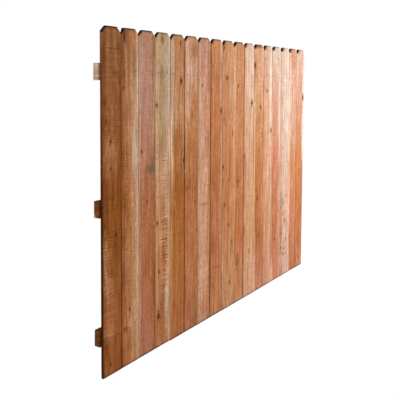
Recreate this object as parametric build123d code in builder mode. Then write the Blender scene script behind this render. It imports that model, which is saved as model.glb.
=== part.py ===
from build123d import *

import os

# Dog ear wood fence panel, in millimetres.
# X runs along the panel, Y through its thickness with the pickets on the -Y side, Z up.
# The origin is the middle of the panel's footprint, level with the longest picket's foot.

# Pickets
picket_count = 17
picket_height = 1828.8
picket_width = 139.7
picket_thickness = 15.9
picket_gap = 2.8
ear_cut = 28.0  # what each top corner loses, the same across and down

# How far a sawn picket may fall short of its full size
length_slack = 3.5
width_slack = 1.6
thickness_slack = 1.2

# Rails
rail_overhang = 9.35  # what the rails stand out past the pickets at each end
rail_thickness = 38.1
rail_depth = 88.9
rail_edge_round = 3.0
bottom_rail_rise = 213.0  # from the ground to the rail's centre line
top_rail_drop = 232.8  # from the picket tops to the rail's centre line
middle_rail_sag = 15.5  # how far the middle rail is nailed below the halfway line

# Nails
nail_edge_inset = 26.0  # from the picket's edge to the nail
nail_stagger = 9.0  # how far a nail may stand above or below the rail's centre line
nail_head_radius = 3.4
nail_head_thickness = 1.3
nail_head_flats = 8
nail_shank_radius = 1.5
nail_shank_flats = 6
nail_point_length = 4.0
nail_cover = 8.0  # wood left between a nail's point and the rail's back

# Faults of single pickets, which are counted from the left
split_ears = {2: 10.0, 9: 6.0}  # height of the step that a splinter left on the left ear
split_width = 14.0  # from the picket's edge to that step
knotted_edge_picket = 17
knot_drop = 402.8  # from the picket tops to the knot
knot_half_length = 21.0
knot_swell = 2.6

# What follows from the sizes above
picket_pitch = picket_width + picket_gap
field_width = picket_count * picket_pitch - picket_gap
rail_length = field_width + 2 * rail_overhang
panel_depth = nail_head_thickness + picket_thickness + rail_thickness
seat_y = panel_depth / 2 - rail_thickness  # plane where the pickets lie on the rails
nail_length = picket_thickness + rail_thickness - nail_cover
bottom_rail_centre = bottom_rail_rise
top_rail_centre = picket_height - top_rail_drop
middle_rail_centre = (bottom_rail_centre + top_rail_centre) / 2 - middle_rail_sag
rail_centres = {"bottom": bottom_rail_centre, "middle": middle_rail_centre, "top": top_rail_centre}

# Shares of the slack and the stagger, taken in turn along the panel
length_shares = (0.7, 0.8, 1.0, 0.9, 0.1, 0.3, 0.0, 0.25, 0.0, 0.1, 0.0, 0.2, 0.35)
width_shares = (0.0, 0.4, 0.1, 0.8, 0.3, 0.6, 0.0, 0.5, 1.0, 0.2, 0.7)
thickness_shares = (0.0, 0.6, 0.2, 0.9, 0.5, 0.1, 0.8, 0.3, 0.7)
stagger_shares = (0.1, -0.6, 0.4, 0.9, -0.3, -0.8, 0.6, 0.0, -0.5, 0.3, 0.7, -0.2, 1.0)


def share(shares, turn):
    """The share that falls to this turn, counted from 1."""
    return shares[(turn - 1) % len(shares)]


def picket_centre(number):
    """Place along X of a picket's middle."""
    return (number - (picket_count + 1) / 2) * picket_pitch


def picket_half_width(number):
    return (picket_width - width_slack * share(width_shares, number)) / 2


def sawn_thickness(number):
    return picket_thickness - thickness_slack * share(thickness_shares, number)


def nail_places(number, rail):
    """Undersides of the heads of the two nails that go through a picket into a rail."""
    pairs_before = number - 1 + picket_count * list(rail_centres).index(rail)
    face = seat_y - sawn_thickness(number)
    places = []
    for turn, side in enumerate((-1, 1), 2 * pairs_before + 1):
        along = side * (picket_half_width(number) - nail_edge_inset)
        stagger = nail_stagger * share(stagger_shares, turn)
        places.append((picket_centre(number) + along, face, rail_centres[rail] + stagger))
    return places


def ear_corners(number):
    """Corners of a picket's left ear, from the side edge up to the flat top."""
    edge = -picket_half_width(number)
    ear_foot = picket_height - ear_cut
    if number not in split_ears:
        return [(edge, ear_foot), (edge + ear_cut, picket_height)]
    # A splinter has broken off the lower part of the slope and left a step on it.
    step_foot = ear_foot + split_width - split_ears[number] / 2
    step_top = step_foot + split_ears[number]
    return [
        (edge, ear_foot),
        (edge + split_width, step_foot),
        (edge + split_width, step_top),
        (edge + split_width + picket_height - step_top, picket_height),
    ]


os.makedirs("parts", exist_ok=True)

# One nail: its head on the face of the wood, its shank and its point
with BuildPart() as nail:
    with BuildSketch(Plane.XZ):
        RegularPolygon(nail_head_radius, nail_head_flats)
    extrude(amount=nail_head_thickness)
    with BuildSketch(Plane.XZ):
        RegularPolygon(nail_shank_radius, nail_shank_flats)
    extrude(amount=nail_point_length - nail_length)
    shank_end = nail.faces().sort_by(Axis.Y)[-1]
    loft([shank_end, Vertex(0, nail_length, 0)], ruled=True)

# Pickets, each with its own sawn size, its dog ears and the holes that its nails fill
for number in range(1, picket_count + 1):
    half_width = picket_half_width(number)
    foot = length_slack * share(length_shares, number)
    ears = ear_corners(number)
    back = Plane(origin=(picket_centre(number), seat_y, 0), x_dir=(1, 0, 0), z_dir=(0, -1, 0))
    picket_nails = [place for rail in rail_centres for place in nail_places(number, rail)]
    with BuildPart() as picket:
        with BuildSketch(back):
            with BuildLine():
                right_ear = Line((half_width - ear_cut, picket_height), (half_width, picket_height - ear_cut))
                if number == knotted_edge_picket:
                    knot_top = (half_width, picket_height - knot_drop + knot_half_length)
                    knot_middle = (half_width + knot_swell, picket_height - knot_drop)
                    knot_foot = (half_width, picket_height - knot_drop - knot_half_length)
                    Line(right_ear @ 1, knot_top)
                    ThreePointArc(knot_top, knot_middle, knot_foot)
                    Line(knot_foot, (half_width, foot))
                else:
                    Line(right_ear @ 1, (half_width, foot))
                Polyline((half_width, foot), (-half_width, foot), *ears, right_ear @ 0)
            make_face()
        extrude(amount=sawn_thickness(number))
        with Locations(*picket_nails):
            add(nail.part, mode=Mode.SUBTRACT)
    picket.part.label = f"picket_{number:02d}"
    export_step(picket.part, f"parts/{picket.part.label}.step")

# Rails, with eased long edges, and the nails driven into each
for rail, centre in rail_centres.items():
    rail_nails = [place for number in range(1, picket_count + 1) for place in nail_places(number, rail)]
    with BuildPart() as timber:
        with BuildSketch(Plane.YZ.offset(-rail_length / 2)) as section:
            with Locations((seat_y + rail_thickness / 2, centre)):
                Rectangle(rail_thickness, rail_depth)
            fillet(section.vertices(), rail_edge_round)
        extrude(amount=rail_length)
        with Locations(*rail_nails):
            add(nail.part, mode=Mode.SUBTRACT)
    timber.part.label = f"rail_{rail}"
    export_step(timber.part, f"parts/{timber.part.label}.step")

    with BuildPart() as nail_row:
        with Locations(*rail_nails):
            add(nail.part)
    nail_row.part.label = f"nails_{rail}"
    export_step(nail_row.part, f"parts/{nail_row.part.label}.step")
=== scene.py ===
from functools import partial, partialmethod, reduce
from math import pi, radians

import bpy
import numpy as np
from mathutils import Matrix, Vector


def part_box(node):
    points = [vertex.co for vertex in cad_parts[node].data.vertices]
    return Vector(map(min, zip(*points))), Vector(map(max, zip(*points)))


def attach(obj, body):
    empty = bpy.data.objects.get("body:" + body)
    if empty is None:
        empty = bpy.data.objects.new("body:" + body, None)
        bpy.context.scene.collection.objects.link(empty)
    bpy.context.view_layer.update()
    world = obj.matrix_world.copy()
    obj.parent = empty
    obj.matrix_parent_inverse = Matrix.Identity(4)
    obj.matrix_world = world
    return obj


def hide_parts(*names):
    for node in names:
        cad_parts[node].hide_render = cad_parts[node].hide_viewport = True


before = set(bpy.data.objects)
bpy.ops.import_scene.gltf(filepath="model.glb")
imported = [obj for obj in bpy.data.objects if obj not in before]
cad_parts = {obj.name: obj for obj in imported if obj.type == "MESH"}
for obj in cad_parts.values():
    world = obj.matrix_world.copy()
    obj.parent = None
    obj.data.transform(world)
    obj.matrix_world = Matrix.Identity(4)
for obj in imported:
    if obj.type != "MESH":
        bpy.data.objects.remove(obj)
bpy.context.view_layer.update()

# Boards are worked out in millimetres and written to their meshes in metres.
MM = 0.001

# Sizes that the solids have too
PICKETS = 17
PITCH = 142.5
HEIGHT = 1828.8
EAR_CUT = 28.0
SPLIT_EARS = {2: 10.0, 9: 6.0}
SPLIT_WIDTH = 14.0
KNOTTED_EDGE_PICKET = 17
EDGE_KNOT_HEIGHT = 1426.0
EDGE_KNOT_HALF_LENGTH = 21.0
EDGE_KNOT_SWELL = 2.6
RAILS = ("bottom", "middle", "top")
RAIL_ROUND = 3.0
NAIL_POINT_LENGTH = 4.0

# Nails are round here, a little inside the flat-sided ones of the solids
NAIL_HEAD_RADIUS = 3.3
NAIL_SHANK_RADIUS = 1.3
NAIL_SIDES = 16
NAIL_TILT = 0.06  # the most that a head leans, as a slope
NAIL_SEEDS = {"bottom": 514, "middle": 514, "top": 511}  # what the leans are drawn from

WAVES = 7  # how many waves make up a piece of noise

# Board meshes: how many points across and through a board, and how far its rings lie apart along it
PICKET_MESH = (22, 4, 8)
RAIL_MESH = (16, 7, 10)
ARRIS = 1.3  # radius of a picket's worn edges
CORNER_POINTS = 2  # points on an arris between its two ends
SHARP = 34  # angle in degrees from which two faces of a board meet in a sharp edge
NAIL_SHARP = 40  # the same for a nail
HOLD = 0.012  # share of the width from an arris to the first line of points on the face
KEY_ROOM = 2  # no plain ring lies nearer than this to a key place along the board
KEY_STEP = 1.2  # from the ring at a key place to the rings that hold it
UNEVEN = 1.0  # the most that a face or a side edge is worn inwards

# Looks
EAR_REACH = 8  # how far below the foot of an ear the painted shade of its slope still reaches
EAR_SHADE_SCALE = (0.75, 0.28)  # how much of an end the ear slopes are for the painted shade near the ends, up to the 4th and from the 12th picket on
EAR_RIM = 0.95  # how dark the rims of the ear slopes are painted, as painted shade
EDGE_LINE = 0.035  # share of the width over which the line along a side edge fades
KNOT_STRETCH = 1.2  # a knot's length along the board for its width
NAIL_STAIN = (32, 110)  # how far from a nail its stain may reach, across and along

# Wood tones, as red, green and blue from 0 to 255
COAL = (58, 34, 18)
BARK = (120, 70, 32)
UMBER = (146, 84, 33)
AMBER = (169, 103, 48)
HONEY = (182, 113, 60)
CINNAMON = (156, 98, 58)
HAZEL = (168, 113, 71)
RUSSET = (172, 104, 56)
COPPER = (184, 116, 73)
CLAY = (187, 119, 83)
GINGER = (190, 124, 82)
CORAL = (198, 131, 103)
TAN = (196, 135, 94)
WHEAT = (200, 147, 107)
STRAW = (206, 156, 108)
ROSE = (197, 147, 124)
SALMON = (206, 151, 123)
PEACH = (211, 162, 131)
CREAM = (216, 171, 132)
BLUSH = (205, 170, 151)
SHELL = (208, 186, 170)
PETAL = (226, 180, 152)
PEARL = (228, 201, 182)
OAT = (193, 170, 138)
SAGE = (181, 143, 103)
OLIVE = (146, 114, 68)
SMOKE = (134, 108, 92)

# Colours that the wood's material lays over its tones, as linear light
GLOW = (0.4, 0.14, 0.04)
KNOT_SHADE = (0.2, 0.06, 0.014)
KNOT_HEART = (0.13, 0.04, 0.009)
KNOT_RIM = (0.045, 0.014, 0.004)
IRON = (0.08, 0.035, 0.012)
# Painted light and shade: the pale and the dark side stand in for light and shade on the narrow sides. Near
# black is painted shade on the end faces and beside the ear slopes, and it also darkens the rims of the
# flat ends. Rim brown darkens the fronts near the ends.
PAINTED_SIDE_LIGHT = (1.0, 0.74, 0.5)
PAINTED_SIDE_SHADE = (0.05, 0.014, 0.003)
RIM_BROWN = (0.09, 0.045, 0.02)
NEAR_BLACK = (0.01, 0.005, 0.003)

# What a board shows where its own looks leave a value out. Places across run from 0 at a picket's left
# edge to 1 at its right edge, and heights and radii are in millimetres.
#   heart: tones of the wood from the foot to the top, evenly spaced
#   bands: (from, to, tone, strength, lowest, highest) of stripes along the grain, and those without
#       heights run on to the board's ends
#   marks: (across, height, reach across, reach along, tone, strength) of soft patches
#   specks: (how many, from, to, lowest, highest, tone, strength) of small dark spots, strewn by chance
#   knots: (across, height, radius)
#   saw: (lowest, highest, spacing, slope, strength, from, to) of the saw's deepest marks
#   grain: how strongly its fibres and streaks stand out
#   joint: how dark its left edge is, partly its own colour and partly painted shade from the gap, at the
#       foot and at the top
#   light: how pale its right edge is, a painted highlight where the arris catches the lamp
#   side, rims: how dark its sides are painted (painted shade, and painted pale as light where the value is
#       low) and how dark the rims of its ends are, at the foot and at the top
#   sap: (across, depth behind the pickets, reach, tone, strength) of pale wood along one corner
PLAIN_LOOKS = dict(
    bands=[], marks=[], specks=[], knots=[], saw=[],
    grain=1, joint=(0, 0), light=0, side=(0, 0), rims=(0.6, 0.6), sap=None,
)

# The pickets, counted from the left
PICKET_LOOKS = {}
PICKET_LOOKS[1] = dict(
    heart=(RUSSET, RUSSET, UMBER, CINNAMON, HAZEL),
    bands=[
        # The coal band along the left edge is painted shade for the shaded left side of the panel.
        (-0.02, 0.22, BARK, 0.4, 850), (-0.02, 0.03, COAL, 0.9, 0, 1000),
        (0.85, 1.02, UMBER, 0.5, 850, 1500), (0.55, 1.02, UMBER, 0.45, 0, 850),
    ],
    marks=[
        (0.42, 1180, 0.42, 120, TAN, 0.7), (0.2, 620, 0.28, 150, TAN, 0.6),
        (0.25, 485, 0.3, 80, SALMON, 0.4), (0.5, 1080, 0.4, 80, CLAY, 0.45),
        (0.5, 1370, 0.4, 90, CLAY, 0.4), (0.72, 700, 0.4, 150, UMBER, 0.6),
        (0.45, 330, 0.4, 120, CLAY, 0.6), (0.35, 235, 0.45, 50, TAN, 0.6),
        (0.15, 1440, 0.12, 26, BARK, 0.9), (0.17, 1340, 0.1, 34, BARK, 0.8),
        (0.68, 1590, 0.16, 20, BARK, 0.8), (0.1, 1700, 0.08, 60, BARK, 0.6),
        (0.88, 1720, 0.1, 60, BARK, 0.7), (0.9, 1560, 0.1, 40, BARK, 0.7),
        (0.72, 1250, 0.06, 110, UMBER, 0.6), (0.5, 550, 0.25, 26, UMBER, 0.8),
        (0.1, 920, 0.12, 50, BARK, 0.6), (0.12, 800, 0.12, 26, BARK, 0.8),
        (0.1, 180, 0.16, 40, BARK, 0.6), (0.2, 100, 0.3, 100, UMBER, 0.6),
    ],
    knots=[(0.44, 1237, 6), (0.43, 1095, 5), (0.71, 743, 7), (0.4, 60, 5), (0.7, 1035, 3)],
    saw=[
        (1500, 1800, 13, 0.03, 0.9), (1180, 1500, 12, 0.03, 0.85), (850, 1180, 9, 0, 0.8, 0, 0.7),
        (120, 850, 13, 0.15, 1.0, 0, 0.7),
    ],
    joint=(1, 0.1), side=(0.99, 0.45), rims=(0.7, 0.95),
)
PICKET_LOOKS[2] = dict(
    heart=(GINGER, TAN, GINGER, TAN, TAN),
    bands=[
        (-0.02, 0.2, RUSSET, 0.85), (0.58, 1.02, STRAW, 0.8, 0, 1100),
        (0.55, 1.02, CREAM, 0.8, 1050, 1700), (0.78, 1.02, CREAM, 0.6),
        (0.62, 1.02, SHELL, 0.6, 1150, 1350), (0.9, 1.02, SHELL, 0.9, 250, 1700),
        (0.72, 0.9, OLIVE, 0.4, 1600),
    ],
    marks=[
        (0.7, 1620, 0.1, 150, OLIVE, 0.6), (0.35, 1750, 0.4, 110, HAZEL, 0.6),
        (0.2, 1790, 0.12, 44, COAL, 0.9), (0.12, 1690, 0.12, 50, BARK, 0.5),
        (0.1, 1512, 0.14, 14, BARK, 0.8), (0.22, 1100, 0.2, 130, UMBER, 0.5),
        (0.25, 910, 0.28, 120, UMBER, 0.6), (0.14, 520, 0.08, 110, BARK, 0.6),
        (0.15, 720, 0.16, 90, UMBER, 0.6), (0.15, 1600, 0.16, 80, BARK, 0.45),
        (0.85, 230, 0.2, 90, CREAM, 0.5), (0.2, 420, 0.26, 130, UMBER, 0.5),
        (0.5, 1360, 0.25, 100, HAZEL, 0.6), (0.2, 206, 0.16, 15, BARK, 0.8),
        (0.35, 110, 0.3, 60, HAZEL, 0.6), (0.55, 215, 0.12, 60, PETAL, 0.7),
    ],
    knots=[(0.47, 310, 6), (0.16, 880, 3)],
    saw=[(150, 1300, 15, 0.1, 0.5, 0, 0.7)],
    joint=(0.7, 0.2), light=1, side=(0.95, 0.7), rims=(0.7, 0.95),
)
PICKET_LOOKS[3] = dict(
    heart=(CORAL, CLAY, CLAY, ROSE, ROSE),
    bands=[
        (-0.02, 0.08, PETAL, 0.75), (0.12, 0.3, SALMON, 0.4, 900, 1450), (0.02, 0.3, BLUSH, 0.5, 1450),
        (0.8, 1.02, RUSSET, 0.4, 0, 1300), (0.86, 1.02, SAGE, 0.5, 1300),
    ],
    marks=[
        (0.72, 1060, 0.36, 38, SMOKE, 0.85), (0.9, 1100, 0.12, 110, SMOKE, 0.4),
        (0.5, 1800, 0.6, 26, WHEAT, 0.6), (0.85, 1730, 0.2, 90, HAZEL, 0.6),
        (0.92, 400, 0.18, 200, UMBER, 0.6), (0.5, 1600, 0.3, 90, SALMON, 0.5),
    ],
    knots=[(0.17, 1161, 6), (0.5, 876, 5)],
    saw=[(300, 1750, 12, 0, 0.28)],
    grain=0.4, rims=(0.6, 0.95),
)
PICKET_LOOKS[4] = dict(
    heart=(TAN, TAN, WHEAT, OAT, OAT),
    bands=[
        (-0.02, 0.22, STRAW, 0.6, 280, 1000), (-0.02, 0.25, CREAM, 0.8, 1000),
        (0.6, 0.84, PEACH, 0.6, 850, 1560), (0.84, 1.02, CREAM, 0.85),
        (0.66, 1.02, CREAM, 0.7, 860, 1350), (0.7, 1.02, SHELL, 0.6, 1350),
        (0.9, 0.94, SAGE, 0.7, 300, 1400), (0.9, 1.02, PEARL, 0.6, 1150, 1500),
        (0.45, 0.53, OLIVE, 0.6, 1120, 1560), (0.26, 0.36, OLIVE, 0.35, 1050, 1480),
        (0.32, 0.8, SAGE, 0.35, 1300),
    ],
    marks=[
        (0.48, 1790, 0.12, 36, OLIVE, 0.95), (0.44, 1590, 0.13, 70, OLIVE, 0.6),
        (0.55, 520, 0.14, 130, RUSSET, 0.7), (0.5, 230, 0.2, 90, RUSSET, 0.6),
        (0.77, 280, 0.13, 170, PEARL, 0.9), (0.7, 1000, 0.3, 70, CREAM, 0.5),
        (0.5, 1480, 0.2, 100, SAGE, 0.6), (0.3, 130, 0.35, 130, RUSSET, 0.5),
        (0.5, 250, 0.25, 100, UMBER, 0.4),
    ],
    knots=[(0.1, 1414, 7), (0.15, 735, 7), (0.25, 448, 6), (0.22, 187, 11)],
    saw=[(850, 1150, 15, 0.05, 0.9, 0.36, 0.85), (300, 850, 15, 0.02, 2.0, 0.38, 0.84)],
    joint=(0.25, 0), light=0.5, side=(0.75, 0.7), rims=(0.6, 0.5),
)
PICKET_LOOKS[5] = dict(
    heart=(COPPER, HONEY, AMBER, WHEAT, TAN),
    bands=[
        (-0.02, 0.24, CREAM, 0.9, 1000, 1450), (-0.02, 0.26, OAT, 0.95, 1450),
        (-0.02, 0.2, PEARL, 0.55, 1150, 1480), (-0.02, 0.12, STRAW, 0.75, 100, 1000),
    ],
    marks=[
        (0.58, 900, 0.25, 130, UMBER, 0.4), (0.2, 850, 0.18, 80, TAN, 0.6),
        (0.85, 1330, 0.2, 80, COPPER, 0.4), (0.92, 1790, 0.1, 60, HAZEL, 0.7),
        (0.85, 1480, 0.16, 100, COPPER, 0.6), (0.98, 1140, 0.035, 130, COAL, 0.8),
        (0.55, 1180, 0.45, 130, AMBER, 0.75), (0.98, 1650, 0.07, 170, UMBER, 0.8),
    ],
    knots=[(0.69, 1778, 6), (0.76, 1554, 11), (0.97, 1075, 10)],
    saw=[(200, 900, 12, 0.1, 0.3)],
)
PICKET_LOOKS[6] = dict(
    heart=(CLAY, GINGER, COPPER, WHEAT, SALMON),
    bands=[
        (-0.02, 0.3, PETAL, 0.8, 1400), (-0.02, 0.2, CREAM, 0.5, 1200, 1400),
        (0.86, 1.02, AMBER, 0.45, 250, 1200),
    ],
    marks=[
        (0.72, 1400, 0.25, 120, COPPER, 0.9), (0.5, 1190, 0.5, 120, HONEY, 0.8),
        (0.75, 120, 0.3, 130, HAZEL, 0.8), (0.9, 90, 0.12, 90, OLIVE, 0.6),
        (0.45, 900, 0.35, 120, RUSSET, 0.5), (0.5, 1640, 0.3, 110, PEARL, 0.45),
        (0.75, 1750, 0.35, 80, HAZEL, 0.8),
    ],
    knots=[(0.79, 805, 5), (0.25, 898, 5), (0.98, 620, 5)],
    saw=[(100, 500, 11, 0.1, 0.4)],
    joint=(0.65, 0.25), side=(0.9, 0.6), rims=(0.6, 0.7),
)
PICKET_LOOKS[7] = dict(
    heart=(PEACH, SALMON, PEACH, SALMON, ROSE),
    bands=[
        (-0.02, 0.11, SAGE, 0.55, 0, 1700), (0.17, 0.4, PEACH, 0.6, 0, 1050),
        (0.1, 0.3, PEACH, 0.4, 1050, 1350), (0.05, 0.3, PETAL, 0.6, 1350, 1650),
        (0.05, 0.35, PETAL, 0.5, 100, 400), (0.78, 1.02, GINGER, 0.75),
    ],
    marks=[
        (0.55, 771, 0.45, 9, CLAY, 0.7), (0.6, 1192, 0.35, 8, CLAY, 0.6),
        (0.05, 200, 0.1, 160, OLIVE, 0.4), (0.5, 90, 0.4, 80, GINGER, 0.6),
        (0.55, 350, 0.3, 110, PETAL, 0.6),
    ],
    knots=[(0.32, 1526, 5)],
    saw=[(700, 1200, 13, 0.35, 0.35), (100, 500, 12, 0.3, 0.35)],
    grain=0.7, joint=(0.1, 0), side=(0.3, 0.1), rims=(0.6, 0.7),
)
PICKET_LOOKS[8] = dict(
    heart=(TAN, CLAY, COPPER, GINGER, TAN),
    bands=[
        (0.85, 1.0, CREAM, 0.5, 500, 1280), (0.8, 0.98, PEACH, 0.65, 1450), (0.66, 0.8, COPPER, 0.4),
    ],
    marks=[
        (0.35, 572, 0.35, 10, HAZEL, 0.8), (0.75, 556, 0.25, 12, HAZEL, 0.7),
        (0.8, 480, 0.22, 90, RUSSET, 0.6), (0.25, 230, 0.25, 90, UMBER, 0.4),
        (0.25, 470, 0.25, 80, UMBER, 0.4), (0.85, 1480, 0.2, 80, PEACH, 0.6),
        (0.4, 328, 0.15, 9, BARK, 0.6), (0.8, 318, 0.3, 8, BARK, 0.6), (0.95, 70, 0.12, 60, HAZEL, 0.7),
    ],
    knots=[(0.88, 1360, 9), (0.18, 1655, 4)],
    joint=(0.75, 0.55), light=0.4, side=(0.9, 0.8),
)
PICKET_LOOKS[9] = dict(
    heart=(WHEAT, TAN, GINGER, TAN, WHEAT),
    bands=[(0.42, 0.62, COPPER, 0.6, 500, 1080), (0.84, 1.02, PEACH, 0.4, 1250)],
    marks=[
        (0.08, 1776, 0.12, 20, COAL, 0.9), (0.3, 1400, 0.2, 100, CORAL, 0.5),
        (0.85, 590, 0.15, 60, HONEY, 0.5), (0.18, 220, 0.2, 90, PEACH, 0.6),
        (0.85, 1480, 0.2, 90, BLUSH, 0.5),
    ],
    knots=[
        (0.38, 1580, 9), (0.11, 982, 7), (0.24, 722, 8), (0.62, 576, 7), (0.98, 1197, 9), (0.98, 447, 9),
        (0.75, 171, 8), (0.6, 888, 5),
    ],
    joint=(0.25, 0.1), light=0.2, side=(0.2, 0.1),
)
PICKET_LOOKS[10] = dict(
    heart=(WHEAT, COPPER, GINGER, TAN, TAN),
    bands=[
        (-0.02, 0.2, PEACH, 0.8, 900, 1400), (-0.02, 0.22, CREAM, 0.9, 1400),
        (-0.02, 0.18, WHEAT, 0.8, 0, 900), (0.7, 1.02, GINGER, 0.4, 300, 1100),
    ],
    marks=[
        (0.5, 862, 0.22, 12, UMBER, 0.9), (0.42, 845, 0.08, 22, UMBER, 0.8),
        (0.45, 300, 0.2, 60, UMBER, 0.6), (0.4, 700, 0.18, 90, RUSSET, 0.7),
        (0.5, 90, 0.35, 90, HONEY, 0.6), (0.5, 480, 0.3, 80, AMBER, 0.5),
    ],
    knots=[(0.43, 1528, 7)],
)
PICKET_LOOKS[11] = dict(
    heart=(PEACH, WHEAT, PEACH, PEACH, SHELL),
    bands=[
        (-0.02, 0.35, PEACH, 0.4), (-0.02, 0.1, RUSSET, 0.9, 0, 1150), (-0.02, 0.06, CINNAMON, 0.9, 1150),
        (0.8, 1.02, CREAM, 0.8, 0, 1350), (0.7, 1.02, PETAL, 0.7, 1350),
        (0.08, 0.32, TAN, 0.7, 450, 1150), (0.08, 0.4, PETAL, 0.5, 1500),
        (0.42, 0.62, SAGE, 0.4, 650, 1350), (0.3, 1.02, PEARL, 0.35, 1400, 1760),
    ],
    marks=[
        (0.62, 325, 0.14, 24, OLIVE, 0.9), (0.8, 200, 0.22, 110, CREAM, 0.9),
        (0.55, 150, 0.06, 110, HAZEL, 0.6), (0.08, 1030, 0.08, 26, BARK, 0.8),
        (0.1, 500, 0.08, 26, BARK, 0.6),
    ],
    knots=[(0.8, 1405, 12)],
    grain=0.75, joint=(0.5, 0.6), light=0.5, side=(0.9, 0.9), rims=(0.6, 0.4),
)
PICKET_LOOKS[12] = dict(
    heart=(CORAL, RUSSET, COPPER, WHEAT, PEACH),
    bands=[
        (-0.02, 0.18, CREAM, 0.85, 400, 1500), (-0.02, 0.28, PETAL, 0.9, 0, 350),
        (0.82, 0.96, CREAM, 0.65, 1480), (0.8, 1.02, TAN, 0.5, 300, 1200),
        (0.68, 1.02, CORAL, 0.6, 620, 850),
    ],
    marks=[
        (0.1, 1650, 0.1, 130, HAZEL, 0.7), (0.5, 1814, 0.35, 16, BARK, 0.9),
        (0.5, 1740, 0.3, 60, WHEAT, 0.6), (0.85, 1178, 0.25, 8, UMBER, 0.6),
        (0.45, 1455, 0.2, 8, CLAY, 0.8),
    ],
    knots=[(0.1, 1675, 11), (0.7, 1372, 8), (0.46, 694, 7), (0.6, 418, 7)],
    light=0.3, side=(0, 0.1),
)
PICKET_LOOKS[13] = dict(
    heart=(SALMON, WHEAT, PEACH, PEACH, BLUSH),
    bands=[
        (0.68, 1.02, PEARL, 0.85, 1180), (0.75, 1.02, PEACH, 0.6, 0, 1180),
        (-0.02, 0.3, TAN, 0.8, 650, 1400), (0.75, 1.02, PETAL, 0.5, 700, 1180),
        (-0.02, 0.15, CORAL, 0.5, 1400), (0.02, 0.2, RUSSET, 0.8, 100, 560),
    ],
    marks=[
        (0.85, 60, 0.25, 90, PEACH, 0.7), (0.8, 1178, 0.3, 8, CLAY, 0.7), (0.7, 700, 0.2, 90, WHEAT, 0.6),
        (0.8, 860, 0.25, 90, PETAL, 0.6), (0.2, 850, 0.18, 80, PEACH, 0.7),
        (0.5, 990, 0.25, 80, SALMON, 0.6),
    ],
    knots=[(0.92, 1190, 8), (0.42, 1490, 7), (0.2, 1725, 5)],
    saw=[(200, 600, 12, 0.2, 0.4)],
    grain=0.75, joint=(0.2, 0.3), light=0.3, side=(0.5, 0.6), rims=(0.5, 0.4),
)
PICKET_LOOKS[14] = dict(
    heart=(CORAL, CLAY, CORAL, ROSE, SHELL),
    bands=[
        (0.08, 0.36, CLAY, 0.45, 0, 1150), (-0.02, 0.06, PETAL, 0.8), (0.76, 1.02, PEARL, 0.8, 1150),
        (0.76, 1.02, PEACH, 0.5, 450, 1100), (-0.02, 0.3, PETAL, 0.6, 0, 220),
        (0.85, 1.02, PEACH, 0.7, 0, 700), (0.88, 1.02, PETAL, 0.8, 1000),
    ],
    marks=[(0.2, 470, 0.05, 70, BARK, 0.7), (0.4, 850, 0.3, 80, COPPER, 0.35)],
    knots=[(0.47, 325, 7)],
    grain=0.75, light=0.3, rims=(0.5, 0.3),
)
PICKET_LOOKS[15] = dict(
    heart=(ROSE, BLUSH, BLUSH, SHELL, SHELL),
    bands=[
        (0.0, 0.28, CLAY, 0.8, 260, 640), (0.02, 0.25, ROSE, 0.5, 650, 1600),
        (0.5, 0.75, SHELL, 0.5, 0, 1300), (0.7, 1.02, SHELL, 0.6, 0, 260), (0.88, 1.02, PEARL, 0.6, 500),
        (-0.02, 0.38, SMOKE, 0.14, 1400),
    ],
    marks=[
        (0.12, 640, 0.12, 80, BARK, 0.4), (0.2, 480, 0.2, 90, CLAY, 0.5),
        (0.9, 620, 0.2, 100, SALMON, 0.7), (0.45, 600, 0.2, 40, SMOKE, 0.3),
        (0.82, 600, 0.2, 80, PEACH, 0.6), (0.6, 400, 0.3, 60, SAGE, 0.3),
    ],
    specks=[(40, 0.15, 0.9, 160, 720, COAL, 0.9), (16, 0.05, 0.35, 900, 1650, UMBER, 0.5)],
    grain=0.7, light=0.2, rims=(0.5, 0.25),
)
PICKET_LOOKS[16] = dict(
    heart=(CLAY, CORAL, TAN, BLUSH, ROSE),
    bands=[
        (0.64, 1.02, SALMON, 0.6, 1100, 1550), (-0.02, 0.24, PETAL, 0.4, 780, 900),
        (-0.02, 0.24, PEARL, 0.65, 900), (-0.02, 0.28, PETAL, 0.95, 0, 900),
    ],
    marks=[
        (0.4, 1805, 0.35, 22, TAN, 0.7), (0.6, 1740, 0.6, 90, HAZEL, 0.3),
        (0.5, 600, 0.3, 90, COPPER, 0.5), (0.85, 170, 0.25, 110, CORAL, 0.8),
        (0.35, 300, 0.15, 160, RUSSET, 0.6),
    ],
    knots=[(0.77, 493, 5)],
    grain=0.75, light=0.3, rims=(0.5, 0.4),
)
PICKET_LOOKS[17] = dict(
    heart=(CLAY, COPPER, GINGER, SALMON, BLUSH),
    bands=[
        (0.84, 1.02, SMOKE, 0.25, 200, 900), (0.02, 0.85, SMOKE, 0.2, 1050),
        (0.8, 1.02, PEARL, 0.9, 1000), (-0.02, 0.28, PETAL, 0.6, 1560), (0.04, 0.2, COPPER, 0.6, 0, 1300),
        (0.03, 0.14, UMBER, 0.5, 0, 500), (0.05, 0.4, COPPER, 0.8, 440, 520),
        (0.3, 1.02, SALMON, 0.5, 0, 180),
    ],
    marks=[(0.93, 1430, 0.14, 26, BARK, 0.9)],
    knots=[(0.55, 83, 7), (0.92, 1432, 15)],
    joint=(0.1, 0), side=(0.3, 0), rims=(0.5, 0.25),
)

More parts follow.
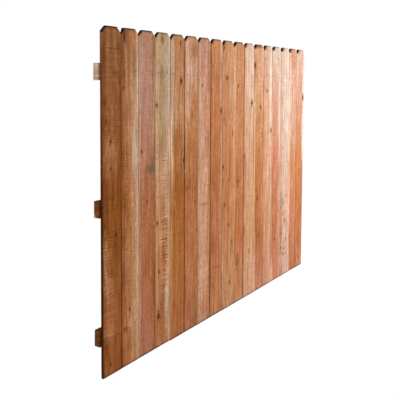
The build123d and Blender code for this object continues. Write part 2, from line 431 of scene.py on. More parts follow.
# The rails. Places across run from 0 at the foot of the wide face to 1 at its top, and the heights are
# distances from the rail's left end.
RAIL_LOOKS = {}
RAIL_LOOKS["bottom"] = dict(
    heart=(BARK, UMBER, RUSSET, GINGER, GINGER, RUSSET, RUSSET),
    bands=[(-0.02, 0.2, WHEAT, 0.5, 900, 2438)],
    knots=[(0.6, 420, 9), (0.3, 1330, 12), (0.7, 2070, 8)],
    side=(0.7, 0.7), rims=(0.2, 0.2),
)
RAIL_LOOKS["middle"] = dict(
    heart=(BARK, GINGER, GINGER, CLAY, GINGER, GINGER),
    knots=[(0.4, 760, 10), (0.75, 1610, 9), (0.35, 2250, 7)],
    side=(0.7, 0.7), rims=(0.2, 0.2), sap=(0, 38, 22, CREAM, 0.9),
)
RAIL_LOOKS["top"] = dict(
    heart=(PEARL, CREAM, OAT, WHEAT, GINGER, WHEAT),
    marks=[(0.5, 0, 0.5, 12, OAT, 0.5)],
    knots=[(0.55, 300, 8), (0.3, 1180, 11), (0.65, 1890, 10)],
    side=(0.7, 0.7), rims=(0.2, 0.2), sap=(1, 38, 40, PEARL, 0.9),
)


# Working helpers


def linear(tone):
    """A tone as linear light."""
    shares = np.array(tone) / 255
    return np.where(shares < 0.04045, shares / 12.92, ((shares + 0.055) / 1.055) ** 2.4)


def smooth(value, start, stop):
    """0 below start, 1 above stop, and a smooth step between them."""
    share = np.clip((value - start) / (stop - start), 0, 1)
    return share * share * (3 - 2 * share)


def within(value, low, high, outside, inside):
    """1 between low and high and 0 elsewhere, with soft ends that reach so far out and in."""
    return smooth(value, low - outside, low + inside) * smooth(-value, -high - outside, -high + inside)


def ripple(seed, across, along, wide, long):
    """Smooth seeded noise, mostly from -1 to 1, with waves about so wide and so long."""
    draw = np.random.default_rng(seed)
    total = np.zeros(np.broadcast(across, along).shape)
    for _ in range(WAVES):
        turns = draw.uniform(0.4, 1.6, 2) * draw.choice((-1, 1), 2)
        total += np.sin(2 * pi * (turns[0] * across / wide + turns[1] * along / long + draw.random()))
    return total / np.sqrt(WAVES)


def stacked(*parts):
    """A list that holds the parts' values together, for each place in their arrays."""
    return np.stack(np.broadcast_arrays(*parts), -1).reshape(-1, len(parts)).tolist()


def add_object(name, data):
    thing = bpy.data.objects.new(name, data)
    bpy.context.scene.collection.objects.link(thing)
    return thing


def add_piece(name, points, polygons, material, angle):
    """A smooth object from points in millimetres, sharp where its faces meet at more than the angle."""
    mesh = bpy.data.meshes.new(name)
    mesh.from_pydata((points * MM).tolist(), [], polygons)
    mesh.polygons.foreach_set("use_smooth", [True] * len(mesh.polygons))
    mesh.set_sharp_from_angle(angle=radians(angle))
    mesh.materials.append(material)
    return add_object(name, mesh)


# Board meshes


def ring_points(across, through):
    """Points round a board's section: steps across and through, and the angle of the way out."""
    right, back = across - 1, through - 1
    sides = (
        (range(across), [0], -90),
        ([right], range(through), 0),
        (range(right, -1, -1), [back], 90),
        ([0], range(back, -1, -1), 180),
    )
    ring = []
    for steps, depths, angle in sides:
        ring += [(a, b, angle) for a in steps for b in depths]
        ring += [(*ring[-1][:2], angle + 90 * n / (CORNER_POINTS + 1)) for n in range(1, CORNER_POINTS + 1)]
    return np.array(ring).T


def board_rows(low, high, step, keys, arris):
    """Places along a board for its rings of points, closer together round the keys."""
    rows = set(np.linspace(low + arris, high - arris, int((high - low) / step)).round(3))
    for key in keys:
        rows = {row for row in rows if abs(row - key) > KEY_ROOM}
        rows |= {key - KEY_STEP, key, key + KEY_STEP}
    return np.array(sorted(row for row in rows if low + arris <= row <= high - arris))


class Board:
    """A board with worn edges: its points (across, through, along), its faces and their map places.

    edges gives the two side edges at a place along it, faces are its front and back planes, and span
    holds the two places where it ends.
    """

    def __init__(self, edges, faces, span, keys, seed, arris, across, through, step):
        self.edges, self.faces, self.span, self.seed, self.arris = edges, faces, span, seed, arris
        self.steps = np.concatenate(([0], np.linspace(HOLD, 1 - HOLD, across - 2), [1]))
        self.depths = np.linspace(0, 1, through)
        a, b, angles = ring_points(across, through)
        self.a, self.b = a.astype(int), b.astype(int)
        self.out_across, self.out_through = np.cos(np.radians(angles)), np.sin(np.radians(angles))
        rim = arris * (1 - np.sqrt(0.5))
        rows = board_rows(*span, step, keys, arris)
        self.rows = np.concatenate(([span[0] + rim], rows, [span[1] - rim]))
        self.points, self.polygons, self.maps = [], [], []
        self.add_skin()
        self.add_end(0)
        self.add_end(1)
        self.points = np.array(self.points)

    def inner(self, u, v, along):
        """Across and through of points at shares of the section inside the arrises."""
        (left, right), (front, back), arris = self.edges(along), self.faces, self.arris
        return left + arris + u * (right - left - 2 * arris), front + arris + v * (back - front - 2 * arris)

    def ring(self, along, swell):
        """Across and through of the points round the board, moved out by a share of the arris."""
        x, y = self.inner(self.steps[self.a], self.depths[self.b], along)
        return x + self.arris * swell * self.out_across, y + self.arris * swell * self.out_through

    def worn(self, x, y, z):
        """Sawn faces are a little hollow, side edges wander, and arrises are chipped, all inwards."""
        seed, side, facing = self.seed, self.out_across, self.out_through
        hollow = 0.22 * (1.2 + ripple(seed, x, z, 90, 700)) + 0.1 * (1 + ripple(seed + 1, x, z, 31, 90))
        wander = 0.3 * (1.2 + ripple(seed + 2, facing, z, 9, 430))
        wander += 0.12 * (1 + ripple(seed + 3, facing, z, 5, 47))
        chips = ripple(seed + 4, facing * 3 + side, z, 5, 60) + ripple(seed + 5, side, z, 3, 17) * 0.4
        loss = 3.6 * np.abs(facing * side) * smooth(chips, 0.9, 2.2)
        x = x - side * (np.clip(wander, 0, UNEVEN) + loss)
        return x, y - facing * (np.clip(hollow, 0, UNEVEN) + loss)

    def add_skin(self):
        """The board without its ends. On the map it is two columns, each with half of its length."""
        swell = np.ones((len(self.rows), 1))
        swell[[0, -1]] = np.sqrt(0.5)
        x, y = self.ring(self.rows[:, None], swell)
        z = np.broadcast_to(self.rows[:, None], x.shape)
        x, y = self.worn(x, y, z)
        self.points += stacked(x, y, z)

        total, count = x.shape
        here = np.arange(count)
        after = (here + 1) % count
        start = count * np.arange(total - 1)[:, None]
        self.polygons += stacked(start + here, start + after, start + count + after, start + count + here)

        half = total // 2
        widths = np.hypot(*(np.diff(line[half], append=line[half, 0]) for line in (x, y)))
        round_at = np.concatenate(([0], np.cumsum(widths))) / widths.sum()
        column = (np.arange(total - 1) >= half).astype(int)
        low, high = self.rows[[0, half]][column], self.rows[[half, total - 1]][column]
        near, far = (0.08 + 0.91 * (row - low) / (high - low) for row in (self.rows[:-1], self.rows[1:]))
        u = 0.5 * column[:, None] + 0.01 + 0.48 * round_at
        corners = [(u[:, :-1], near), (u[:, 1:], near), (u[:, 1:], far), (u[:, :-1], far)]
        self.maps += np.stack([stacked(u, v[:, None]) for u, v in corners], 1).tolist()

    def add_end(self, number):
        """One end: a grid of points and a rim of faces round it. On the map it lies below a column."""
        end, (front, back) = self.span[number], self.faces
        left, right = self.edges(end)
        x, y = self.inner(*np.meshgrid(self.steps, self.depths, indexing="ij"), end)
        rough = np.clip(0.15 * (1.2 + ripple(self.seed + 6 + number, x, y, 11, 9)), 0, 0.5)
        grid = len(self.points) + np.arange(x.size).reshape(x.shape)
        self.points += stacked(x, y, end + (rough if number == 0 else -rough))

        count = len(self.a)
        outer = number * count * (len(self.rows) - 1)
        known = {}
        for first, (x, y) in ((grid[0, 0], (x, y)), (outer, self.ring(end, 0.7))):
            u = 0.25 + 0.5 * number + 0.44 * ((x - left) / (right - left) - 0.5)
            v = 0.01 + 0.05 * (y - front) / (back - front)
            known.update(enumerate(stacked(u, v), first))

        caps = stacked(grid[:-1, :-1], grid[1:, :-1], grid[1:, 1:], grid[:-1, 1:])
        inner = grid[self.a, self.b].tolist()
        for n in range(count):
            m = (n + 1) % count
            cap = [outer + n, outer + m, inner[m], inner[n]]
            caps.append(cap[:3] if inner[n] == inner[m] else cap)
        if number == 0:
            caps = [cap[::-1] for cap in caps]
        self.polygons += caps
        self.maps += [[known[index] for index in cap] for cap in caps]

    def build(self, name, order, values, material):
        """The board as an object. order says which of (across, through, along) is X, Y and Z."""
        turn = 1 if order == (0, 1, 2) else -1
        polygons = [face[::turn] for face in self.polygons]
        piece = add_piece(name, self.points[:, order], polygons, material, SHARP)
        places = [place for face in self.maps for place in face[::turn]]
        piece.data.uv_layers.new(name="OFBake").data.foreach_set("uv", np.array(places, np.float32).ravel())
        for label, value in values.items():
            kind, key = "FLOAT_VECTOR", "vector"
            if label == "tone":
                kind, key = "FLOAT_COLOR", "color"
                value = np.insert(value, 3, 1, axis=1)
            attribute = piece.data.attributes.new(label, kind, "POINT")
            attribute.data.foreach_set(key, value.astype(np.float32).ravel())
        return piece


# What the wood shows


class Wood:
    """What a board shows at its points, as values that its material reads.

    across is measured from the board's middle, and span holds the places where the board ends.
    """

    def __init__(self, looks, seed, width, span, across, through, along):
        self.looks, self.seed, self.span = {**PLAIN_LOOKS, **looks}, seed, span
        self.across, self.through, self.along = across, through, along
        self.share = across / width + 0.5
        self.level = (along - span[0]) / (span[1] - span[0])
        self.draw = np.random.default_rng(seed + 60)

    def values(self, tip, nails):
        """All the values. tip is the way to the nearest end, nails are places across and along."""
        values = {"tone": self.tones()}
        values["knot"], values["log"] = self.growth()
        values["saw"] = self.saw_marks()
        values["nail"] = self.near_nails(nails)
        # edge: the way to the nearest end, how the sides are painted with light and shade, and how dark the
        # rims of the ends are
        values["edge"] = np.stack([tip, self.ramp("side"), self.ramp("rims")], -1)
        return values

    def ramp(self, key):
        """A look that is given at the foot and at the top."""
        return np.interp(self.level, (0, 1), self.looks[key])

    def ripple(self, number, wide, long):
        """Noise on the board. Each use has its own number, so that no two are alike."""
        return ripple(self.seed + number, self.across, self.along, wide, long)

    def drift(self, number, long):
        """Noise that changes along the board only."""
        return ripple(self.seed + number, 0 * self.along, self.along, 1, long)

    def away(self, middle, height, wide, long):
        """Distance from a place, for a reach of 1."""
        return np.hypot((self.share - middle) / wide, (self.along - height) / long)

    def lay(self, tone, amount):
        amount = np.clip(amount, 0, 1)[:, None]
        self.colour = self.colour * (1 - amount) + linear(tone) * amount

    def tones(self):
        looks, share = self.looks, np.clip(self.share, 0, 1)
        bend = np.clip(self.level + 0.03 * self.ripple(10, 60, 500), 0, 1)
        hearts = np.array([linear(tone) for tone in looks["heart"]]).T
        stops = np.linspace(0, 1, len(looks["heart"]))
        self.colour = np.stack([np.interp(bend, stops, heart) for heart in hearts], -1)
        for key, lay in (("bands", self.lay_band), ("marks", self.lay_mark), ("specks", self.lay_specks)):
            for n, look in enumerate(looks[key]):
                lay(n, *look)
        if looks["sap"]:
            self.lay_sap(*looks["sap"])
        uneven = np.clip(1 + 0.35 * self.drift(46, 260), 0.3, 1.3)
        # A dark line along the left edge: partly the edge's own colour, partly painted shade from the gap
        # between boards.
        self.lay(COAL, self.ramp("joint") * uneven * np.exp(-share / EDGE_LINE))
        # A pale line along the right edge: a painted highlight where the arris catches the lamp.
        self.lay(PETAL, looks["light"] * uneven * np.exp((share - 1) / EDGE_LINE))
        streaks = 0.09 * self.ripple(50, 38, 900) + 0.07 * self.ripple(51, 16, 420)
        patches = 0.06 * self.ripple(52, 160, 260) + 0.04 * self.ripple(53, 50, 90)
        return self.colour * np.exp(streaks + patches)[:, None] ** np.array([0.8, 1.1, 1.35])

    def lay_band(self, n, start, stop, tone, strength, bottom=0, top=np.inf):
        stray = 0.02 * self.drift(20 + n, 700) + 0.008 * self.drift(30 + n, 120)
        amount = strength * within(self.share + stray, start, stop, 0.03, 0.05)
        if bottom > self.span[0]:
            amount *= smooth(self.along, bottom - 160, bottom + 60)
        if top < self.span[1]:
            amount *= smooth(-self.along, -top - 60, -top + 160)
        self.lay(tone, amount)

    def lay_mark(self, n, middle, height, wide, long, tone, strength):
        away = self.away(middle, height, wide, long)
        away += 0.2 * self.ripple(100 + n, 30, 90) + 0.16 * self.ripple(130 + n, 11, 26)
        self.lay(tone, strength * (1 - smooth(away, 0.3, 1.2)))

    def lay_specks(self, n, count, start, stop, bottom, top, tone, strength):
        draw = np.random.default_rng(self.seed + 170 + n)
        for middle, height in draw.uniform((start, bottom), (stop, top), (count, 2)):
            away = self.away(middle, height, draw.uniform(0.03, 0.06), draw.uniform(7, 15))
            self.lay(tone, strength * draw.uniform(0.5, 1) * (1 - smooth(away, 0.4, 1.2)))

    def lay_sap(self, corner, depth, reach, tone, strength):
        edge = self.across.min() if corner == 0 else self.across.max()
        away = np.hypot(self.across - edge, self.through - depth) + 5 * self.drift(45, 600)
        self.lay(tone, strength * (1 - smooth(away, 0.8 * reach, 1.15 * reach)))

    def growth(self):
        """Each point's place in the nearest knot, and its place in the log, bent round the knots."""
        across, along, draw = self.across, self.along, self.draw
        pith_across = draw.uniform(-70, 70)
        pith_through = draw.uniform(35, 90) * draw.choice((-1, 1))
        log_across = across - pith_across + 9 * self.drift(61, 900)
        log_through = self.through - pith_through + 12 * self.drift(62, 1300)
        knot = np.zeros((len(along), 3))
        if self.looks["knots"]:
            middles, heights, radii = np.array(self.looks["knots"], float).T
            dx = across[:, None] - (middles * (across.max() - across.min()) + across.min())
            dz = along[:, None] - heights
            near = np.exp(-((dx / (2.4 * radii)) ** 2) - (dz / (5 * radii)) ** 2)
            log_across -= 0.75 * (dx * near).sum(1)
            gaps = np.hypot(dx, dz)
            rows, nearest = np.arange(len(along)), gaps.argmin(1)
            gap, radius = gaps[rows, nearest], radii[nearest]
            others = np.sort(gaps, 1)[:, 1] if len(radii) > 1 else np.inf
            knot[:, 0] = dx[rows, nearest] / radius
            knot[:, 1] = dz[rows, nearest] / radius / KNOT_STRETCH
            knot[:, 2] = (gap < 6 * radius + 14) & (others - gap > 14)
        return knot, np.stack([log_across, log_through, along + 3000 * draw.random()], -1) * MM

    def saw_marks(self):
        """Phase and depth: faint marks all over, and deep ones where the looks ask for them."""
        across, along = self.across, self.along
        phase = (along + self.draw.uniform(-0.12, 0.12) * across) / self.draw.uniform(8, 12)
        depth = 0.2 + 0.12 * self.ripple(63, 90, 200)
        for n, (bottom, top, spacing, slope, strength, *sides) in enumerate(self.looks["saw"]):
            start, stop = sides or (0, 1)
            deep = strength * within(along, bottom, top, 30, 90)
            deep = deep * within(self.share, start, stop, 0.08, 0.08)
            bow = 0.0004 * (across - 40 * n) ** 2
            phase = np.where(deep > depth, (along + slope * across + bow) / spacing, phase)
            depth = np.maximum(deep, depth)
        return np.stack([phase, depth, np.full(len(along), self.looks["grain"])], -1)

    def near_nails(self, nails):
        """Place from the nail in centimetres, and 1, at the points that its stain may reach."""
        stain = np.zeros((len(self.along), 3))
        for x, z in nails:
            dx, dz = self.across - x, self.along - z
            close = (np.abs(dx) < NAIL_STAIN[0]) & (np.abs(dz) < NAIL_STAIN[1])
            stain[close] = np.stack([dx / 10, dz / 10, np.ones(len(dx))], -1)[close]
        return stain


# Materials


class Shader:
    """A material's node tree, with short names for the nodes that it needs."""

    def __init__(self, name):
        self.material = bpy.data.materials.new(name)
        self.material.use_nodes = True
        self.nodes = self.material.node_tree.nodes
        self.links = self.material.node_tree.links
        self.surface = self.nodes["Principled BSDF"].inputs

    def put(self, value, socket):
        if isinstance(value, bpy.types.NodeSocket):
            self.links.new(value, socket)
        else:
            socket.default_value = value

    def node(self, kind, values, **settings):
        """A new node with its settings, and the values in its first sockets."""
        node = self.nodes.new("ShaderNode" + kind)
        for name, setting in settings.items():
            setattr(node, name, setting)
        for value, socket in zip(values, node.inputs):
            self.put(value, socket)
        return node

    def math(self, operation, *values):
        return self.node("Math", values, operation=operation).outputs[0]

    def chain(self, operation, *values):
        return reduce(partial(self.math, operation), values)

    times = partialmethod(chain, "MULTIPLY")
    plus = partialmethod(chain, "ADD")
    minus = partialmethod(chain, "SUBTRACT")

    def vector(self, operation, *values):
        return self.node("VectorMath", values, operation=operation).outputs["Vector"]

    def length(self, *values):
        node = self.node("VectorMath", (self.join(*values),), operation="LENGTH")
        return node.outputs["Value"]

    def attribute(self, name, output="Vector"):
        return self.node("Attribute", (), attribute_name=name).outputs[output]

    def split(self, vector):
        return self.node("SeparateXYZ", (vector,)).outputs

    def join(self, *values):
        return self.node("CombineXYZ", values).outputs[0]

    def noise(self, place, scale, detail=3.0, roughness=0.55):
        node = self.node("TexNoise", (self.vector("MULTIPLY", place, scale),))
        for name, value in (("Scale", 1.0), ("Detail", detail), ("Roughness", roughness)):
            node.inputs[name].default_value = value
        return node.outputs["Fac"]

    def step(self, value, start, stop, low=0.0, high=1.0):
        values = (value, start, stop, low, high)
        return self.node("MapRange", values, interpolation_type="SMOOTHSTEP").outputs[0]

    def mix(self, amount, first, second, blend="MIX"):
        node = self.node("Mix", (amount,), data_type="RGBA", blend_type=blend)
        self.put(first, node.inputs[6])
        self.put(second, node.inputs[7])
        return node.outputs[2]

    def lay(self, tone, amount, colour):
        return self.mix(amount, colour, (*tone, 1))

    def bump(self, height, strength, distance):
        node = self.node("Bump", ())
        node.inputs["Strength"].default_value = strength
        node.inputs["Distance"].default_value = distance
        self.put(height, node.inputs["Height"])
        self.put(node.outputs[0], self.surface["Normal"])


def growth_rings(s, log, cloud):
    """The dark late wood line in each ring round the pith."""
    across, through, _ = s.split(log)
    turn = s.math("FRACT", s.plus(s.times(s.length(across, through), 260), s.times(cloud, 2.2)))
    return s.times(s.step(turn, 0.45, 0.88), s.step(turn, 1.0, 0.92))


def knot_parts(s, speck):
    """Heart, rim and the shade round a knot."""
    across, along, counts = s.split(s.attribute("knot"))
    away = s.plus(s.length(across, along), s.times(s.minus(speck, 0.5), 0.35))
    counted = s.step(counts, 0.9, 0.99)
    heart = s.times(counted, s.step(away, 1.05, 0.9))
    rim = s.times(counted, s.step(away, 0.62, 0.95), s.step(away, 1.3, 0.98))
    shade_away = s.length(s.times(across, 1.1), s.times(along, 0.55))
    return heart, rim, s.times(counted, s.step(shade_away, 2.1, 0.6))


def saw_cuts(s, saw, log, streak):
    """The grooves that the saw left and the ridges between them, each cut to a depth of its own."""
    phase = s.plus(saw[0], s.times(s.noise(log, (8, 8, 26), 2.0), 2.4))
    wave = s.math("SINE", s.times(phase, 2 * pi))
    line = s.node("TexWhiteNoise", (), noise_dimensions="1D")
    s.put(s.math("FLOOR", s.plus(phase, 0.25)), line.inputs["W"])
    uneven = s.step(line.outputs["Value"], 0.1, 0.95, 0.25, 1.7)
    depth = s.times(saw[1], uneven, s.step(streak, 0.35, 0.65, 0.45, 1.0))
    return s.times(s.step(wave, -0.1, 0.95), depth), s.times(s.step(wave, -0.2, -0.95), depth)


def iron_stain(s, fibre):
    """Stain round the nails and down from them."""
    across, along, near = s.split(s.attribute("nail"))
    stained = s.times(near, s.step(s.length(across, along), 0.62, 0.3))
    drip_side = s.step(s.math("ABSOLUTE", across), 0.35, 0.05)
    drip_down = s.times(s.step(along, -4.0, -0.5), s.step(along, 0.3, -0.3))
    drip = s.times(drip_side, drip_down, near, fibre)
    return s.math("MAXIMUM", s.times(stained, 0.35), s.times(drip, 0.3))


def grain_shade(s, log, saw, fibre, streak, late, kerf, ridge):
    """How light or dark the grain, its marks and its flecks make the wood."""
    fleck = s.step(s.noise(log, (230, 230, 75), 1.0), 0.62, 0.74)
    stripe = s.noise(log, (62, 62, 1.1), 2.0)
    mottle = s.noise(log, (50, 50, 48))
    chatter = s.noise(log, (7, 7, 80), 3.0, 0.6)
    lines = s.plus(
        s.step(fibre, 0.2, 0.8, -0.12, 0.2),
        s.step(streak, 0.25, 0.75, -0.13, 0.15),
        s.step(stripe, 0.25, 0.75, -0.12, 0.12),
    )
    chop = s.times(s.step(chatter, 0.25, 0.75, -0.2, 0.2), s.plus(s.times(saw[1], 0.65), 0.1))
    shade = s.plus(s.times(lines, saw[2]), s.step(mottle, 0.25, 0.75, 0.92, 1.08), chop)
    # Saw grooves are darkened and the ridges between them lightened: partly the marks' own colour, partly
    # painted shade in the grooves and painted highlight on the ridges.
    shade = s.minus(shade, s.times(late, 0.12), s.times(kerf, 0.26))
    return s.minus(s.plus(shade, s.times(ridge, 0.22)), s.times(fleck, 0.4))


def lay_edges(s, colour, cloud, end_axis, end_shade):
    """Painted shade and light at the edges: end faces are painted near black as shade, sides are painted
    pale as light on some boards and dark as shade on others, and the fronts darken towards the ends, which
    is painted shade beside the ear slopes.
    """
    tip, side_shading, rim_dark = s.split(s.attribute("edge"))
    normal = s.split(s.vector("ABSOLUTE", s.node("NewGeometry", ()).outputs["True Normal"]))
    end = s.step(normal[end_axis], 0.3, 0.6)
    face = s.step(normal[1], 0.2, 0.6)
    side = s.times(s.minus(1.0, s.math("MAXIMUM", end, face)), s.step(normal[2 - end_axis], 0.8, 0.97))
    # Masks for the darkening near the ends, which is painted shade beside the ear slopes
    brown_rim = s.step(tip, 22.0, 3.0, 0.0, 0.45)
    black_rim = s.times(s.step(tip, 9.5, 4.0), s.step(cloud, 0.2, 0.6, 0.7, 1.0))
    # The narrow sides are painted pale as painted light on boards with little side shade, and dark as
    # painted shade on the others.
    colour = s.lay(PAINTED_SIDE_LIGHT, s.times(side, s.step(side_shading, 0.5, 0.0, 0.0, 0.95)), colour)
    colour = s.lay(PAINTED_SIDE_SHADE, s.times(side, s.step(side_shading, 0.1, 0.9)), colour)
    # End faces are painted near black: painted shade, strongest on the pickets.
    colour = s.lay(NEAR_BLACK, s.times(end, end_shade), colour)
    # The fronts are darkened near the ends: painted shade beside the ear slopes, and elsewhere only darker
    # towards the ends.
    colour = s.lay(RIM_BROWN, s.times(brown_rim, rim_dark), colour)
    return s.lay(NEAR_BLACK, s.times(black_rim, rim_dark), colour)


def wood_material(name, end_axis, end_shade):
    """Rough sawn softwood. end_axis is the axis that its length runs along, and end_shade says how dark its
    ends are painted, as painted shade."""
    s = Shader(name)
    log = s.attribute("log")
    saw = s.split(s.attribute("saw"))
    fibre = s.noise(log, (700, 700, 9), 4.0, 0.65)
    streak = s.noise(log, (120, 120, 1.8))
    cloud = s.noise(log, (22, 22, 5), 4.0)
    speck = s.noise(log, (900, 900, 300), 2.0)
    late = growth_rings(s, log, cloud)
    heart, rim, halo = knot_parts(s, speck)
    kerf, ridge = saw_cuts(s, saw, log, streak)

    shade = grain_shade(s, log, saw, fibre, streak, late, kerf, ridge)
    rich = s.join(shade, s.math("POWER", shade, 1.15), s.math("POWER", shade, 1.4))
    colour = s.mix(1.0, s.attribute("tone", "Color"), rich, "MULTIPLY")
    colour = s.lay(GLOW, s.times(s.step(cloud, 0.3, 0.7), 0.08), colour)
    colour = s.lay(KNOT_SHADE, s.times(halo, 0.55), colour)
    colour = s.lay(KNOT_HEART, s.times(heart, 0.9), colour)
    colour = s.lay(KNOT_RIM, s.times(rim, 0.7), colour)
    colour = s.lay(IRON, iron_stain(s, fibre), colour)
    s.put(lay_edges(s, colour, cloud, end_axis, end_shade), s.surface["Base Color"])

    s.put(s.minus(s.step(fibre, 0.2, 0.8, 0.92, 0.74), s.times(heart, 0.2)), s.surface["Roughness"])
    s.surface["Specular IOR Level"].default_value = 0.04
    height = s.plus(s.times(fibre, 0.25), s.times(speck, 0.12), s.times(late, 0.06))
    s.bump(s.minus(height, s.times(kerf, 0.3), s.times(rim, 0.35)), 1.0, MM)
    return s.material


def nail_material():
    """Dull zinc coating with rust coming through."""
    s = Shader("weathered nail")
    place = s.node("TexCoord", ()).outputs["Object"]
    grain = s.noise(place, (900, 900, 900), 4.0)
    rust = s.step(s.noise(place, (260, 260, 260)), 0.36, 0.56)
    zinc = s.mix(grain, (0.1, 0.05, 0.022, 1), (0.2, 0.115, 0.06, 1))
    s.put(s.lay((0.12, 0.04, 0.012), rust, zinc), s.surface["Base Color"])
    s.put(s.step(rust, 0.0, 1.0, 0.15, 0.02), s.surface["Metallic"])
    s.put(s.step(grain, 0.2, 0.8, 0.5, 0.8), s.surface["Roughness"])
    s.bump(grain, 0.6, 0.2 * MM)
    return s.material


# Nails


def nail_heads(node):
    """(x, lowest y, highest y, z) of each nail of a CAD node, in millimetres, from left to right."""
    points = np.array([vertex.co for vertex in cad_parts[node].data.vertices]) / MM
    points = points[points[:, 0].argsort()]
    breaks = np.flatnonzero(np.diff(points[:, 0]) > 20) + 1
    nails = []
    for cluster in np.split(points, breaks):
        low, high = cluster.min(0), cluster.max(0)
        nails.append(((low[0] + high[0]) / 2, low[1], high[1], (low[2] + high[2]) / 2))
    return nails


def nail_profile(length):
    """(radius, depth behind the top of the head) down one nail."""
    head = NAIL_HEAD_RADIUS
    return [
        (0.35 * head, 0.0),
        (0.7 * head, 0.12),
        (0.92 * head, 0.32),
        (head, 0.6),
        (head, 1.25),
        (0.9 * head, 1.3),
        (NAIL_SHANK_RADIUS, 1.35),
        (NAIL_SHANK_RADIUS, length - NAIL_POINT_LENGTH),
    ]


def make_nails(level, nails, material):
    """All nails of one rail as one piece, each turned from its profile, its head a little off square."""
    vertices, polygons = [], []
    draw = np.random.default_rng(NAIL_SEEDS[level])
    angles = np.arange(NAIL_SIDES) * 2 * pi / NAIL_SIDES
    for x, front, back, z in nails:
        first = len(vertices)
        tilt = draw.uniform(-NAIL_TILT, NAIL_TILT, 2)
        vertices.append((x, front, z))
        for radius, depth in nail_profile(back - front):
            for angle in angles:
                dx, dz = radius * np.cos(angle), radius * np.sin(angle)
                slant = tilt * (dx, dz) if depth < 1 else np.zeros(2)
                vertices.append((x + dx, front + depth + (slant + abs(slant)).sum(), z + dz))
        last = len(vertices)
        vertices.append((x, back, z))
        for n in range(NAIL_SIDES):
            m = (n + 1) % NAIL_SIDES
            polygons.append((first + 1 + n, first + 1 + m, first))
            for a in range(first + 1, last - NAIL_SIDES, NAIL_SIDES):
                b = a + NAIL_SIDES
                polygons.append((b + n, b + m, a + m, a + n))
            end = last - NAIL_SIDES
            polygons.append((last, end + m, end + n))
    piece = add_piece(f"nailing_{level}", np.array(vertices), polygons, material, NAIL_SHARP)
    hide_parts(f"nails_{level}")
    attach(piece, "root")


# Pickets and rails


def picket_edges(number, centre, half_width):
    """A function that gives a picket's two side edges at places along it, and its key places."""
    ear_foot = HEIGHT - EAR_CUT
    ear = [(-half_width, ear_foot), (-half_width + EAR_CUT, HEIGHT)]
    if number in SPLIT_EARS:
        step = SPLIT_EARS[number]
        step_foot = ear_foot + SPLIT_WIDTH - step / 2
        step_top = step_foot + step
        inner = -half_width + SPLIT_WIDTH
        ear[1:] = [(inner, step_foot), (inner, step_top), (inner + HEIGHT - step_top, HEIGHT)]
    left_at, left_up = zip(*ear)

    def edges(along):
        left = centre + np.interp(along, left_up, left_at)
        right = centre + np.interp(along, [ear_foot, HEIGHT], [half_width, half_width - EAR_CUT])
        if number == KNOTTED_EDGE_PICKET:
            offset = np.clip(np.abs(along - EDGE_KNOT_HEIGHT) / EDGE_KNOT_HALF_LENGTH, 0, 1)
            right = right + EDGE_KNOT_SWELL * (1 - offset**2)
        return left, right

    keys = sorted({ear_foot, *left_up[:-1]})
    if number == KNOTTED_EDGE_PICKET:
        keys += [EDGE_KNOT_HEIGHT + n * EDGE_KNOT_HALF_LENGTH for n in (-1, -0.5, 0, 0.5, 1)]
    return edges, keys


def make_picket(number, nails, material):
    node = f"picket_{number:02d}"
    low, high = (np.array(corner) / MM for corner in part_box(node))
    seed, span = 1000 * number, (low[2], high[2])
    centre = (number - (PICKETS + 1) / 2) * PITCH
    half_width = centre - low[0]
    edges, keys = picket_edges(number, centre, half_width)
    shape = Board(edges, (low[1], high[1]), span, keys, seed, ARRIS, *PICKET_MESH)
    across, through, along = shape.points.T
    # Beside the ear slopes the front counts as near an end, so that it is painted dark there as painted
    # shade for the shaded slopes.
    ear_shade_distance = (across - edges(along)[0]) * np.interp(number, (4, 12), EAR_SHADE_SCALE)
    slope = np.where(along > HEIGHT - EAR_CUT - EAR_REACH, ear_shade_distance, HEIGHT)
    ends = np.minimum(along - low[2], high[2] - along)
    wood = Wood(PICKET_LOOKS[number], seed, 2 * half_width, span, across - centre, through, along)
    own = [(x - centre, z) for x, _, _, z in nails if abs(x - centre) < half_width]
    values = wood.values(np.minimum(ends, slope), own)
    values["edge"][slope < ends, 2] = EAR_RIM
    board = shape.build(f"board_{number:02d}", (0, 1, 2), values, material)
    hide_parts(node)
    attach(board, "root")


def make_rail(level, seed, material):
    node = f"rail_{level}"
    low, high = (np.array(corner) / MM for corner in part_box(node))

    def edges(along):
        return low[2] + 0 * along, high[2] + 0 * along

    shape = Board(edges, (low[1], high[1]), (low[0], high[0]), [], seed, RAIL_ROUND, *RAIL_MESH)
    length, _, width = high - low
    across, through, along = (shape.points - ((low[2] + high[2]) / 2, low[1], low[0])).T
    wood = Wood(RAIL_LOOKS[level], seed, width, (0, length), across, through, along)
    values = wood.values(np.minimum(along, length - along), [])
    rail = shape.build(f"timber_{level}", (2, 1, 0), values, material)
    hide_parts(node)
    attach(rail, "root")


# Stage

FLOOR_HALF = 9.0

# name: place, what it is aimed at, width, height, power and colour
LIGHTS = {
    "key": ((2.1, -2.6, 2.0), (0.4, 0.0, 1.15), 1.2, 2.0, 116, (1, 1, 1)),
    "fill": ((-4.4, -3.0, 1.6), (-0.6, 0.0, 1.0), 1.6, 1.6, 24, (1, 0.93, 0.84)),
    "left": ((-4.8, 1.0, 2.0), (-1.2, 0.0, 1.4), 1.0, 1.0, 80, (1, 0.92, 0.82)),
    "back": ((0.4, 4.6, 2.8), (0.0, 0.0, 0.9), 2.4, 2.4, 180, (1, 1, 1)),
}

# The view that fits the photograph's corners, with its angles in degrees
CAMERA_PLACE = (-3.368, -2.1048, 1.528)
CAMERA_YAW = 55.57
CAMERA_PITCH = 3.371
CAMERA_ROLL = 0.294
CAMERA_LENS = 52.728
CAMERA_SENSOR = 36.0
CAMERA_SHIFT = -0.2


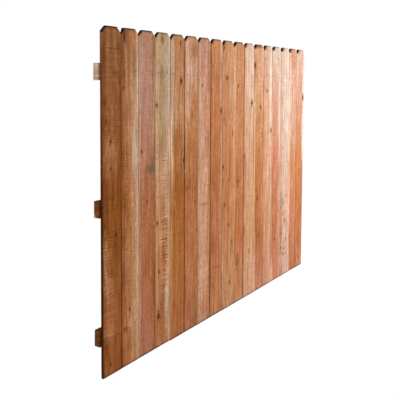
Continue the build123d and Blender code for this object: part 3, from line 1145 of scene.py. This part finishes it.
def white_to_camera(tree, kind, lit, output):
    """Plain white where the camera looks, and the lit shader for all other light."""
    white = tree.nodes.new(kind)
    white.inputs["Color"].default_value = (1, 1, 1, 1)
    white.inputs["Strength"].default_value = 1.0
    path = tree.nodes.new("ShaderNodeLightPath")
    blend = tree.nodes.new("ShaderNodeMixShader")
    shaders = (path.outputs["Is Camera Ray"], lit.outputs[0], white.outputs[0])
    for socket, shader in zip(blend.inputs, shaders):
        tree.links.new(shader, socket)
    tree.links.new(blend.outputs[0], tree.nodes[output].inputs["Surface"])


def make_floor():
    mesh = bpy.data.meshes.new("floor")
    corners = [(FLOOR_HALF * x, FLOOR_HALF * y, 0) for x, y in ((-1, -1), (1, -1), (1, 1), (-1, 1))]
    mesh.from_pydata(corners, [], [(0, 1, 2, 3)])
    material = bpy.data.materials.new("pale floor")
    material.use_nodes = True
    surface = material.node_tree.nodes["Principled BSDF"]
    surface.inputs["Base Color"].default_value = (0.62, 0.61, 0.6, 1)
    surface.inputs["Roughness"].default_value = 0.9
    white_to_camera(material.node_tree, "ShaderNodeEmission", surface, "Material Output")
    mesh.materials.append(material)
    floor = add_object("floor", mesh)


def make_world():
    """A dim even light from all sides."""
    world = bpy.data.worlds.new("studio")
    bpy.context.scene.world = world
    world.use_nodes = True
    dim = world.node_tree.nodes["Background"]
    dim.inputs["Color"].default_value = (1, 0.94, 0.87, 1)
    dim.inputs["Strength"].default_value = 0.2
    white_to_camera(world.node_tree, "ShaderNodeBackground", dim, "World Output")


def make_lights():
    for name, (place, target, width, height, power, colour) in LIGHTS.items():
        data = bpy.data.lights.new(name, "AREA")
        data.shape = "RECTANGLE"
        data.size = width
        data.size_y = height
        data.energy = power
        data.color = colour
        light = add_object(name, data)
        light.location = place
        light.rotation_euler = (Vector(target) - Vector(place)).to_track_quat("-Z", "Y").to_euler()


def make_camera():
    data = bpy.data.cameras.new("camera")
    data.lens = CAMERA_LENS
    data.sensor_width = CAMERA_SENSOR
    data.shift_y = CAMERA_SHIFT
    turn = Matrix.Rotation(radians(-CAMERA_YAW), 4, "Z")
    turn @= Matrix.Rotation(radians(90 - CAMERA_PITCH), 4, "X")
    turn @= Matrix.Rotation(radians(CAMERA_ROLL), 4, "Z")
    camera = add_object("camera", data)
    camera.matrix_world = Matrix.Translation(CAMERA_PLACE) @ turn
    bpy.context.scene.camera = camera


# The whole scene

bpy.context.scene.view_settings.view_transform = "Standard"
make_camera()
make_world()
make_lights()
make_floor()

picket_wood = wood_material("sawn picket wood", 2, 0.97)
rail_wood = wood_material("rail wood", 0, 0.05)
nail_steel = nail_material()

all_nails = []
for level in RAILS:
    nails = nail_heads(f"nails_{level}")
    all_nails += nails
    make_nails(level, nails, nail_steel)
for number in range(1, PICKETS + 1):
    make_picket(number, all_nails, picket_wood)
for turn, level in enumerate(RAILS):
    make_rail(level, 50000 + 1000 * turn, rail_wood)
